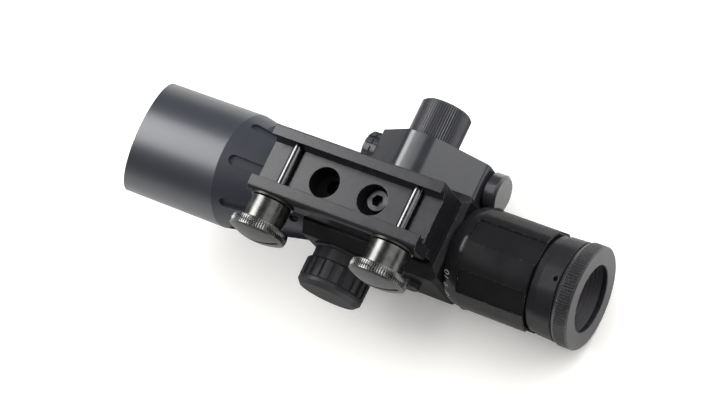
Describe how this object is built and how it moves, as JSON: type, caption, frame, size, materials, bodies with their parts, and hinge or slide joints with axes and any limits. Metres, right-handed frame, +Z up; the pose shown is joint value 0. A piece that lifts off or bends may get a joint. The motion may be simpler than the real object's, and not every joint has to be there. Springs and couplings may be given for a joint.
{
  "type": "zoom telescopic sight",
  "caption": "Compact zoom telescopic sight with slanted objective shade, fluted taper, ribbed turrets, knurled side light module and a rail clamp with thumb nuts.",
  "frame": {"origin": "centre of the clamp floor, the face that sits on top of the rail", "axes": "+X forward along the rail and the optical axis, towards the objective; +Y to the left; +Z up"},
  "size_m": [0.198, 0.0818, 0.0747],
  "materials": {
    "body_black": "satin black anodised",
    "bell_black": "fine matt blue-black anodised",
    "module_black": "satin black anodised",
    "turret_black": "satin black anodised",
    "knob_black": "satin black anodised, knurled",
    "ring_black": "smooth black anodised",
    "clamp_black": "satin black anodised, edges worn bright",
    "coated_glass": "magenta coated optical glass",
    "clear_glass": "clear optical glass",
    "nut_steel": "blackened steel, worn",
    "screw_black": "black oxide",
    "bolt_steel": "polished",
    "spring_steel": "bare steel",
    "cell_steel": "nickel plated",
    "inner_brass": "turned brass",
    "inner_alloy": "matt black"
  },
  "bodies": {
    "sight": {"main_body": "body_black", "objective_bell": "bell_black", "objective_lens": "coated_glass", "objective_ring": "body_black", "erector_tube": "inner_alloy", "erector_spring": "spring_steel", "reticle": "clear_glass", "windage_base": "turret_black", "elevation_base": "turret_black", "side_housing": "module_black", "light_module": "inner_brass", "battery_stack": "cell_steel", "side_plug": "turret_black", "purge_screw": "screw_black", "eyepiece_tube": "ring_black", "lock_screw": "screw_black", "clamp_base": "clamp_black", "base_screw": "screw_black", "cross_bolts": "bolt_steel"},
    "zoom_ring": {"zoom_ring": "ring_black", "zoom_drive_screw": "screw_black", "cam_sleeve": "inner_brass"},
    "front_cell": {"front_erector_cell": "inner_brass", "front_erector_lens": "clear_glass"},
    "rear_cell": {"rear_erector_cell": "inner_brass", "rear_erector_lens": "clear_glass"},
    "windage_screw": {"windage_spindle": "inner_brass"},
    "windage_knob": {"windage_knob": "turret_black"},
    "elevation_screw": {"elevation_spindle": "inner_brass"},
    "elevation_knob": {"elevation_knob": "turret_black"},
    "brightness_knob": {"brightness_knob": "knob_black"},
    "aim_dial": {"aim_dial": "knob_black", "dial_window": "clear_glass"},
    "tail_button": {"tail_button": "knob_black"},
    "eye_cell": {"eye_cell": "inner_alloy", "eye_lens": "coated_glass", "eye_lock_ring": "ring_black"},
    "focus_ring": {"focus_ring": "ring_black"},
    "jaw": {"clamp_jaw": "clamp_black", "jaw_washers": "spring_steel"},
    "front_nut": {"front_thumb_nut": "nut_steel"},
    "rear_nut": {"rear_thumb_nut": "nut_steel"}
  },
  "joints": [
    {"name": "zoom_turn", "type": "hinge", "parent": "sight", "child": "zoom_ring", "pos_m": [-0.056, 0, 0.0298], "axis": [-1, 0, 0], "range_deg": [0, 101]},
    {"name": "front_cell_slide", "type": "slide", "parent": "sight", "child": "front_cell", "axis": [1, 0, 0], "range_m": [0, 0.01]},
    {"name": "rear_cell_slide", "type": "slide", "parent": "sight", "child": "rear_cell", "axis": [-1, 0, 0], "range_m": [0, 0.006]},
    {"name": "windage_turn", "type": "hinge", "parent": "sight", "child": "windage_knob", "pos_m": [0.004, -0.025, 0.0298], "axis": [0, -1, 0], "range_deg": [-720, 720]},
    {"name": "windage_travel", "type": "slide", "parent": "sight", "child": "windage_screw", "axis": [0, -1, 0], "range_m": [-0.0007, 0.0007]},
    {"name": "elevation_turn", "type": "hinge", "parent": "sight", "child": "elevation_knob", "pos_m": [0.004, 0, 0.055], "axis": [0, 0, 1], "range_deg": [-720, 720]},
    {"name": "elevation_travel", "type": "slide", "parent": "sight", "child": "elevation_screw", "axis": [0, 0, 1], "range_m": [-0.0007, 0.0007]},
    {"name": "brightness_turn", "type": "hinge", "parent": "sight", "child": "brightness_knob", "pos_m": [-0.0075, 0.04, 0.0298], "axis": [0, 1, 0], "range_deg": [0, 270]},
    {"name": "dial_turn", "type": "hinge", "parent": "sight", "child": "aim_dial", "pos_m": [0.012, 0.0254, 0.0334], "axis": [1, 0, 0], "range_deg": [-90, 90]},
    {"name": "button_press", "type": "slide", "parent": "sight", "child": "tail_button", "axis": [1, 0, 0], "range_m": [0, 0.0008], "stiffness_N_per_m": 800},
    {"name": "focus_travel", "type": "slide", "parent": "sight", "child": "eye_cell", "axis": [-1, 0, 0], "range_m": [0, 0.0015]},
    {"name": "focus_turn", "type": "hinge", "parent": "eye_cell", "child": "focus_ring", "pos_m": [-0.085, 0, 0.0298], "axis": [-1, 0, 0], "range_deg": [0, 360]},
    {"name": "jaw_slide", "type": "slide", "parent": "sight", "child": "jaw", "axis": [0, -1, 0], "range_m": [0, 0.0045]},
    {"name": "front_nut_turn", "type": "hinge", "parent": "jaw", "child": "front_nut", "pos_m": [0.02502, -0.02, -0.0008], "axis": [0, -1, 0], "range_deg": [0, 2320]},
    {"name": "rear_nut_turn", "type": "hinge", "parent": "jaw", "child": "rear_nut", "pos_m": [-0.02502, -0.02, -0.0008], "axis": [0, -1, 0], "range_deg": [0, 2320]}
  ],
  "couplings": [
    {"joint": "front_cell_slide", "follows": "zoom_turn", "m_per_rad": 0.00567},
    {"joint": "rear_cell_slide", "follows": "zoom_turn", "m_per_rad": 0.0034},
    {"joint": "windage_travel", "follows": "windage_turn", "m_per_rad": 0.0000557},
    {"joint": "elevation_travel", "follows": "elevation_turn", "m_per_rad": 0.0000557},
    {"joint": "focus_travel", "follows": "focus_turn", "m_per_rad": 0.0002387},
    {"joint": "front_nut_turn", "follows": "jaw_slide", "rad_per_m": 8976},
    {"joint": "rear_nut_turn", "follows": "jaw_slide", "rad_per_m": 8976}
  ]
}
